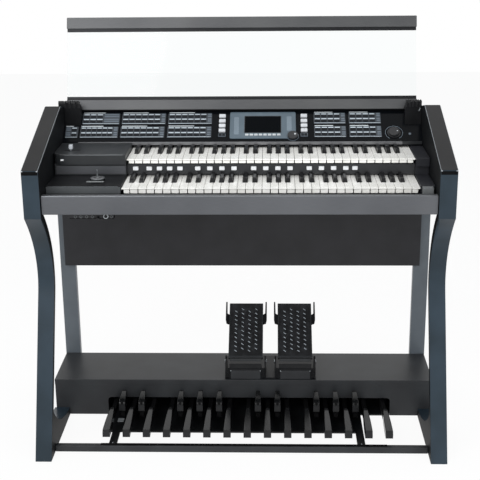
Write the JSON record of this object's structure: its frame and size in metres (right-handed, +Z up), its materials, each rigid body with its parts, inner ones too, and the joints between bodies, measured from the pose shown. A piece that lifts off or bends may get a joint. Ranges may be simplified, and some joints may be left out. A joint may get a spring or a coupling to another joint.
{
  "type": "electronic organ",
  "caption": "Electronic organ with two manuals, a sloping control panel, a clear hinged music rest, swept side boards, a short pedalboard and expression pedals.",
  "frame": {"origin": "middle of the footprint's box, on the floor", "axes": "+X to the player's right, +Y away from the player, +Z up"},
  "size_m": [1.2, 0.6314, 1.2144],
  "materials": {
    "lacquered_board": "high-gloss dark navy lacquer",
    "dark_board": "satin charcoal paint",
    "grey_metal": "satin grey coating",
    "black_plastic": "fine moulded texture",
    "charcoal_plastic": "satin",
    "panel_gloss": "gloss black",
    "key_white": "polished white",
    "bezel": "blue-grey satin",
    "pedal_cap": "semi-gloss dark moulding",
    "silver": "silver coat",
    "clear": "polished clear sheet",
    "button_white": "satin white"
  },
  "bodies": {
    "console": {"side_board_left": "lacquered_board", "side_board_right": "lacquered_board", "rear_leg_left": "lacquered_board", "rear_leg_right": "lacquered_board", "keybed": "dark_board", "front_rail": "grey_metal", "console_back": "dark_board", "knee_panel": "dark_board", "lower_left_block": "charcoal_plastic", "upper_left_block": "charcoal_plastic", "right_end_block": "charcoal_plastic", "preset_rail": "grey_metal", "control_panel": "panel_gloss", "display": "bezel", "hinge_block_left": "charcoal_plastic", "hinge_block_right": "charcoal_plastic", "pedal_case": "dark_board", "pedalboard_frame": "black_plastic", "foot_rail": "dark_board", "expression_base": "charcoal_plastic"},
    "upper_naturals": {"upper_naturals": "key_white"},
    "upper_sharps": {"upper_sharps": "black_plastic"},
    "lower_naturals": {"lower_naturals": "key_white"},
    "lower_sharps": {"lower_sharps": "black_plastic"},
    "preset_buttons": {"preset_buttons": "button_white"},
    "panel_buttons": {"panel_buttons": "button_white"},
    "data_dial": {"data_dial": "silver"},
    "volume_knob": {"volume_knob": "black_plastic"},
    "joystick": {"joystick": "silver"},
    "balance_lever": {"balance_lever": "silver"},
    "expression_pedal_left": {"expression_pedal_left": "black_plastic"},
    "expression_pedal_right": {"expression_pedal_right": "black_plastic"},
    "music_rest": {"rest_bottom_rail": "grey_metal", "rest_top_rail": "grey_metal", "rest_sheet": "clear"},
    "pedal_01_natural": {"pedal_01_natural": "pedal_cap"},
    "pedal_02_sharp": {"pedal_02_sharp": "pedal_cap"},
    "pedal_03_natural": {"pedal_03_natural": "pedal_cap"},
    "pedal_04_sharp": {"pedal_04_sharp": "pedal_cap"},
    "pedal_05_natural": {"pedal_05_natural": "pedal_cap"},
    "pedal_06_natural": {"pedal_06_natural": "pedal_cap"},
    "pedal_07_sharp": {"pedal_07_sharp": "pedal_cap"},
    "pedal_08_natural": {"pedal_08_natural": "pedal_cap"},
    "pedal_09_sharp": {"pedal_09_sharp": "pedal_cap"},
    "pedal_10_natural": {"pedal_10_natural": "pedal_cap"},
    "pedal_11_sharp": {"pedal_11_sharp": "pedal_cap"},
    "pedal_12_natural": {"pedal_12_natural": "pedal_cap"},
    "pedal_13_natural": {"pedal_13_natural": "pedal_cap"},
    "pedal_14_sharp": {"pedal_14_sharp": "pedal_cap"},
    "pedal_15_natural": {"pedal_15_natural": "pedal_cap"},
    "pedal_16_sharp": {"pedal_16_sharp": "pedal_cap"},
    "pedal_17_natural": {"pedal_17_natural": "pedal_cap"},
    "pedal_18_natural": {"pedal_18_natural": "pedal_cap"},
    "pedal_19_sharp": {"pedal_19_sharp": "pedal_cap"},
    "pedal_20_natural": {"pedal_20_natural": "pedal_cap"},
    "pedal_21_sharp": {"pedal_21_sharp": "pedal_cap"},
    "pedal_22_natural": {"pedal_22_natural": "pedal_cap"},
    "pedal_23_sharp": {"pedal_23_sharp": "pedal_cap"},
    "pedal_24_natural": {"pedal_24_natural": "pedal_cap"},
    "pedal_25_natural": {"pedal_25_natural": "pedal_cap"}
  },
  "joints": [
    {"name": "lower_naturals_press", "type": "hinge", "parent": "console", "child": "lower_naturals", "pos_m": [0, 0.14201, 0.778], "axis": [1, 0, 0], "range_deg": [0, 1.9], "stiffness_Nm_per_rad": 60, "springref_deg": -11.46},
    {"name": "lower_sharps_press", "type": "hinge", "parent": "console", "child": "lower_sharps", "pos_m": [0, 0.14201, 0.778], "axis": [1, 0, 0], "range_deg": [0, 1.9], "stiffness_Nm_per_rad": 25, "springref_deg": -11.46},
    {"name": "upper_naturals_press", "type": "hinge", "parent": "console", "child": "upper_naturals", "pos_m": [0, 0.18201, 0.83525], "axis": [1, 0, 0], "range_deg": [0, 2.7], "stiffness_Nm_per_rad": 15, "springref_deg": -11.46},
    {"name": "upper_sharps_press", "type": "hinge", "parent": "console", "child": "upper_sharps", "pos_m": [0, 0.18201, 0.83525], "axis": [1, 0, 0], "range_deg": [0, 2.7], "stiffness_Nm_per_rad": 10, "springref_deg": -11.46},
    {"name": "pedal_01_natural_press", "type": "hinge", "parent": "console", "child": "pedal_01_natural", "pos_m": [-0.401, 0.16201, 0.045], "axis": [1, 0, 0], "range_deg": [0, 1.9], "stiffness_Nm_per_rad": 8, "springref_deg": -8.59},
    {"name": "pedal_02_sharp_press", "type": "hinge", "parent": "console", "child": "pedal_02_sharp", "pos_m": [-0.371, 0.16201, 0.045], "axis": [1, 0, 0], "range_deg": [0, 1.9], "stiffness_Nm_per_rad": 8, "springref_deg": -8.59},
    {"name": "pedal_03_natural_press", "type": "hinge", "parent": "console", "child": "pedal_03_natural", "pos_m": [-0.341, 0.16201, 0.045], "axis": [1, 0, 0], "range_deg": [0, 1.9], "stiffness_Nm_per_rad": 8, "springref_deg": -8.59},
    {"name": "pedal_04_sharp_press", "type": "hinge", "parent": "console", "child": "pedal_04_sharp", "pos_m": [-0.311, 0.16201, 0.045], "axis": [1, 0, 0], "range_deg": [0, 1.9], "stiffness_Nm_per_rad": 8, "springref_deg": -8.59},
    {"name": "pedal_05_natural_press", "type": "hinge", "parent": "console", "child": "pedal_05_natural", "pos_m": [-0.281, 0.16201, 0.045], "axis": [1, 0, 0], "range_deg": [0, 1.9], "stiffness_Nm_per_rad": 8, "springref_deg": -8.59},
    {"name": "pedal_06_natural_press", "type": "hinge", "parent": "console", "child": "pedal_06_natural", "pos_m": [-0.221, 0.16201, 0.045], "axis": [1, 0, 0], "range_deg": [0, 1.9], "stiffness_Nm_per_rad": 8, "springref_deg": -8.59},
    {"name": "pedal_07_sharp_press", "type": "hinge", "parent": "console", "child": "pedal_07_sharp", "pos_m": [-0.191, 0.16201, 0.045], "axis": [1, 0, 0], "range_deg": [0, 1.9], "stiffness_Nm_per_rad": 8, "springref_deg": -8.59},
    {"name": "pedal_08_natural_press", "type": "hinge", "parent": "console", "child": "pedal_08_natural", "pos_m": [-0.161, 0.16201, 0.045], "axis": [1, 0, 0], "range_deg": [0, 1.9], "stiffness_Nm_per_rad": 8, "springref_deg": -8.59},
    {"name": "pedal_09_sharp_press", "type": "hinge", "parent": "console", "child": "pedal_09_sharp", "pos_m": [-0.131, 0.16201, 0.045], "axis": [1, 0, 0], "range_deg": [0, 1.9], "stiffness_Nm_per_rad": 8, "springref_deg": -8.59},
    {"name": "pedal_10_natural_press", "type": "hinge", "parent": "console", "child": "pedal_10_natural", "pos_m": [-0.101, 0.16201, 0.045], "axis": [1, 0, 0], "range_deg": [0, 1.9], "stiffness_Nm_per_rad": 8, "springref_deg": -8.59},
    {"name": "pedal_11_sharp_press", "type": "hinge", "parent": "console", "child": "pedal_11_sharp", "pos_m": [-0.071, 0.16201, 0.045], "axis": [1, 0, 0], "range_deg": [0, 1.9], "stiffness_Nm_per_rad": 8, "springref_deg": -8.59},
    {"name": "pedal_12_natural_press", "type": "hinge", "parent": "console", "child": "pedal_12_natural", "pos_m": [-0.041, 0.16201, 0.045], "axis": [1, 0, 0], "range_deg": [0, 1.9], "stiffness_Nm_per_rad": 8, "springref_deg": -8.59},
    {"name": "pedal_13_natural_press", "type": "hinge", "parent": "console", "child": "pedal_13_natural", "pos_m": [0.019, 0.16201, 0.045], "axis": [1, 0, 0], "range_deg": [0, 1.9], "stiffness_Nm_per_rad": 8, "springref_deg": -8.59},
    {"name": "pedal_14_sharp_press", "type": "hinge", "parent": "console", "child": "pedal_14_sharp", "pos_m": [0.049, 0.16201, 0.045], "axis": [1, 0, 0], "range_deg": [0, 1.9], "stiffness_Nm_per_rad": 8, "springref_deg": -8.59},
    {"name": "pedal_15_natural_press", "type": "hinge", "parent": "console", "child": "pedal_15_natural", "pos_m": [0.079, 0.16201, 0.045], "axis": [1, 0, 0], "range_deg": [0, 1.9], "stiffness_Nm_per_rad": 8, "springref_deg": -8.59},
    {"name": "pedal_16_sharp_press", "type": "hinge", "parent": "console", "child": "pedal_16_sharp", "pos_m": [0.109, 0.16201, 0.045], "axis": [1, 0, 0], "range_deg": [0, 1.9], "stiffness_Nm_per_rad": 8, "springref_deg": -8.59},
    {"name": "pedal_17_natural_press", "type": "hinge", "parent": "console", "child": "pedal_17_natural", "pos_m": [0.139, 0.16201, 0.045], "axis": [1, 0, 0], "range_deg": [0, 1.9], "stiffness_Nm_per_rad": 8, "springref_deg": -8.59},
    {"name": "pedal_18_natural_press", "type": "hinge", "parent": "console", "child": "pedal_18_natural", "pos_m": [0.199, 0.16201, 0.045], "axis": [1, 0, 0], "range_deg": [0, 1.9], "stiffness_Nm_per_rad": 8, "springref_deg": -8.59},
    {"name": "pedal_19_sharp_press", "type": "hinge", "parent": "console", "child": "pedal_19_sharp", "pos_m": [0.229, 0.16201, 0.045], "axis": [1, 0, 0], "range_deg": [0, 1.9], "stiffness_Nm_per_rad": 8, "springref_deg": -8.59},
    {"name": "pedal_20_natural_press", "type": "hinge", "parent": "console", "child": "pedal_20_natural", "pos_m": [0.259, 0.16201, 0.045], "axis": [1, 0, 0], "range_deg": [0, 1.9], "stiffness_Nm_per_rad": 8, "springref_deg": -8.59},
    {"name": "pedal_21_sharp_press", "type": "hinge", "parent": "console", "child": "pedal_21_sharp", "pos_m": [0.289, 0.16201, 0.045], "axis": [1, 0, 0], "range_deg": [0, 1.9], "stiffness_Nm_per_rad": 8, "springref_deg": -8.59},
    {"name": "pedal_22_natural_press", "type": "hinge", "parent": "console", "child": "pedal_22_natural", "pos_m": [0.319, 0.16201, 0.045], "axis": [1, 0, 0], "range_deg": [0, 1.9], "stiffness_Nm_per_rad": 8, "springref_deg": -8.59},
    {"name": "pedal_23_sharp_press", "type": "hinge", "parent": "console", "child": "pedal_23_sharp", "pos_m": [0.349, 0.16201, 0.045], "axis": [1, 0, 0], "range_deg": [0, 1.9], "stiffness_Nm_per_rad": 8, "springref_deg": -8.59},
    {"name": "pedal_24_natural_press", "type": "hinge", "parent": "console", "child": "pedal_24_natural", "pos_m": [0.379, 0.16201, 0.045], "axis": [1, 0, 0], "range_deg": [0, 1.9], "stiffness_Nm_per_rad": 8, "springref_deg": -8.59},
    {"name": "pedal_25_natural_press", "type": "hinge", "parent": "console", "child": "pedal_25_natural", "pos_m": [0.439, 0.16201, 0.045], "axis": [1, 0, 0], "range_deg": [0, 1.9], "stiffness_Nm_per_rad": 8, "springref_deg": -8.59},
    {"name": "expression_left_tilt", "type": "hinge", "parent": "console", "child": "expression_pedal_left", "pos_m": [0.009, 0.03701, 0.165], "axis": [1, 0, 0], "range_deg": [-20, 0]},
    {"name": "expression_right_tilt", "type": "hinge", "parent": "console", "child": "expression_pedal_right", "pos_m": [0.165, 0.03701, 0.165], "axis": [1, 0, 0], "range_deg": [-20, 0]},
    {"name": "music_rest_tilt", "type": "hinge", "parent": "console", "child": "music_rest", "pos_m": [0, 0.22301, 0.9365], "axis": [1, 0, 0], "range_deg": [-20, 15]},
    {"name": "volume_turn", "type": "hinge", "parent": "console", "child": "volume_knob", "pos_m": [0.466, 0.15199, 0.87701], "axis": [0, -0.6178, 0.7863], "range_deg": [-150, 150]},
    {"name": "dial_turn", "type": "hinge", "parent": "console", "child": "data_dial", "pos_m": [0.156, 0.13915, 0.8715], "axis": [0, -0.6178, 0.7863], "continuous": true},
    {"name": "joystick_tilt", "type": "hinge", "parent": "console", "child": "joystick", "pos_m": [-0.4125, -0.09199, 0.798], "axis": [0, 1, 0], "range_deg": [-15, 15], "stiffness_Nm_per_rad": 0.05},
    {"name": "balance_slide", "type": "slide", "parent": "console", "child": "balance_lever", "axis": [1, 0, 0], "range_m": [-0.012, 0.012]},
    {"name": "preset_press", "type": "slide", "parent": "console", "child": "preset_buttons", "axis": [0, 1, 0], "range_m": [0, 0.0015], "stiffness_N_per_m": 400, "springref_m": -0.002},
    {"name": "panel_press", "type": "slide", "parent": "console", "child": "panel_buttons", "axis": [0, 0.6178, -0.7863], "range_m": [0, 0.001], "stiffness_N_per_m": 3000, "springref_m": -0.003}
  ]
}
